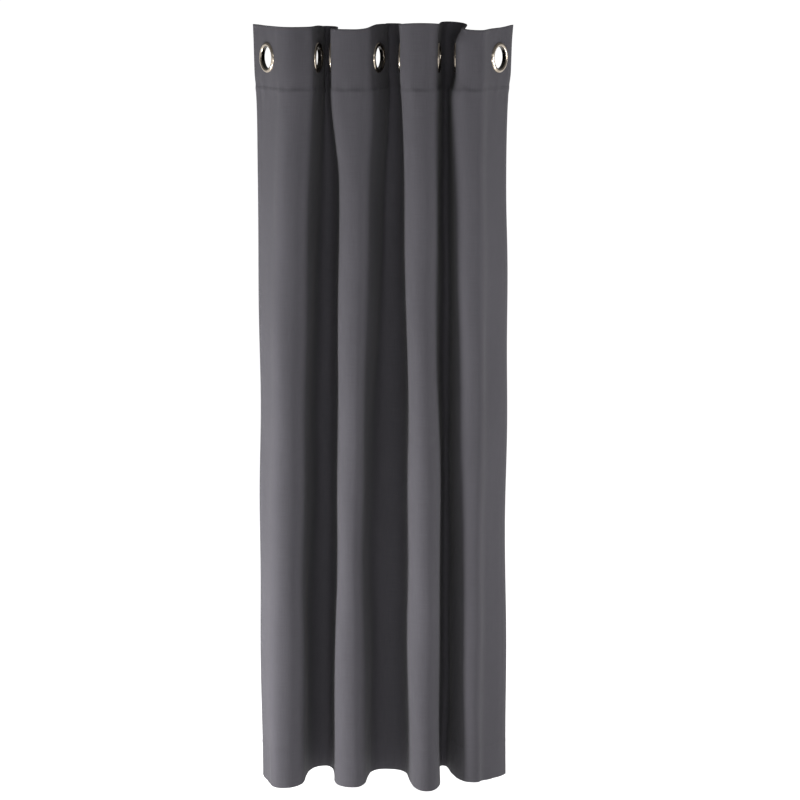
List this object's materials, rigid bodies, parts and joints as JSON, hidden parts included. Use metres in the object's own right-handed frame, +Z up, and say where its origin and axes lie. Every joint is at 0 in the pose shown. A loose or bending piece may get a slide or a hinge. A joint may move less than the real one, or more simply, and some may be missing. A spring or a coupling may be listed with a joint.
{
  "type": "grommet curtain panel",
  "caption": "Fabric room curtain panel with metal grommets, hanging in accordion folds from a rod; the pleats open and gather together.",
  "frame": {"origin": "on the axis of the rod that holds the panel, at the middle of the heading", "axes": "+X along the rod to the right as seen from the room, -Y to the room, +Z up"},
  "size_m": [0.5244, 0.1441, 1.6],
  "materials": {
    "cloth": "matte woven",
    "stiffener": "matte nonwoven",
    "metal": "polished nickel",
    "label": "matte"
  },
  "bodies": {
    "left_edge": {"cloth_left_edge": "cloth", "facing_left_edge": "cloth", "stiffener_left_edge": "stiffener", "hem_left_edge": "cloth", "side_hem_left": "cloth"},
    "pleat_1": {"cloth_pleat_1": "cloth", "stiffener_1": "stiffener", "facing_1": "cloth", "hem_pleat_1": "cloth", "grommet_front_1": "metal", "grommet_back_1": "metal"},
    "pleat_2": {"cloth_pleat_2": "cloth", "stiffener_2": "stiffener", "facing_2": "cloth", "hem_pleat_2": "cloth", "grommet_front_2": "metal", "grommet_back_2": "metal"},
    "pleat_3": {"cloth_pleat_3": "cloth", "stiffener_3": "stiffener", "facing_3": "cloth", "hem_pleat_3": "cloth", "grommet_front_3": "metal", "grommet_back_3": "metal"},
    "pleat_4": {"cloth_pleat_4": "cloth", "stiffener_4": "stiffener", "facing_4": "cloth", "hem_pleat_4": "cloth", "grommet_front_4": "metal", "grommet_back_4": "metal"},
    "pleat_5": {"cloth_pleat_5": "cloth", "stiffener_5": "stiffener", "facing_5": "cloth", "hem_pleat_5": "cloth", "grommet_front_5": "metal", "grommet_back_5": "metal"},
    "pleat_6": {"cloth_pleat_6": "cloth", "stiffener_6": "stiffener", "facing_6": "cloth", "hem_pleat_6": "cloth", "grommet_front_6": "metal", "grommet_back_6": "metal"},
    "pleat_7": {"cloth_pleat_7": "cloth", "stiffener_7": "stiffener", "facing_7": "cloth", "hem_pleat_7": "cloth", "grommet_front_7": "metal", "grommet_back_7": "metal"},
    "pleat_8": {"cloth_pleat_8": "cloth", "stiffener_8": "stiffener", "facing_8": "cloth", "hem_pleat_8": "cloth", "grommet_front_8": "metal", "grommet_back_8": "metal", "side_hem_right": "cloth", "care_label": "label"}
  },
  "joints": [
    {"name": "draw", "type": "hinge", "parent": "left_edge", "child": "pleat_1", "pos_m": [-0.234, 0, -0.013], "axis": [0, 0, 1], "range_deg": [-5, 26]},
    {"name": "fold_front_1", "type": "hinge", "parent": "pleat_1", "child": "pleat_2", "pos_m": [-0.183, -0.06092, -0.7], "axis": [0, 0, 1], "range_deg": [-52, 10]},
    {"name": "fold_back_1", "type": "hinge", "parent": "pleat_2", "child": "pleat_3", "pos_m": [-0.118, 0.07697, -0.7], "axis": [0, 0, 1], "range_deg": [-10, 52]},
    {"name": "fold_front_2", "type": "hinge", "parent": "pleat_3", "child": "pleat_4", "pos_m": [-0.0565, -0.05849, -0.7], "axis": [0, 0, 1], "range_deg": [-52, 10]},
    {"name": "fold_back_2", "type": "hinge", "parent": "pleat_4", "child": "pleat_5", "pos_m": [0.0135, 0.07467, -0.7], "axis": [0, 0, 1], "range_deg": [-10, 52]},
    {"name": "fold_front_3", "type": "hinge", "parent": "pleat_5", "child": "pleat_6", "pos_m": [0.074, -0.06418, -0.7], "axis": [0, 0, 1], "range_deg": [-52, 10]},
    {"name": "fold_back_3", "type": "hinge", "parent": "pleat_6", "child": "pleat_7", "pos_m": [0.13, 0.07587, -0.7], "axis": [0, 0, 1], "range_deg": [-10, 52]},
    {"name": "fold_front_4", "type": "hinge", "parent": "pleat_7", "child": "pleat_8", "pos_m": [0.1913, -0.06334, -0.7], "axis": [0, 0, 1], "range_deg": [-52, 10]}
  ],
  "couplings": [
    {"joint": "fold_front_1", "follows": "draw", "ratio": -2},
    {"joint": "fold_back_1", "follows": "draw", "ratio": 2},
    {"joint": "fold_front_2", "follows": "draw", "ratio": -2},
    {"joint": "fold_back_2", "follows": "draw", "ratio": 2},
    {"joint": "fold_front_3", "follows": "draw", "ratio": -2},
    {"joint": "fold_back_3", "follows": "draw", "ratio": 2},
    {"joint": "fold_front_4", "follows": "draw", "ratio": -2}
  ]
}
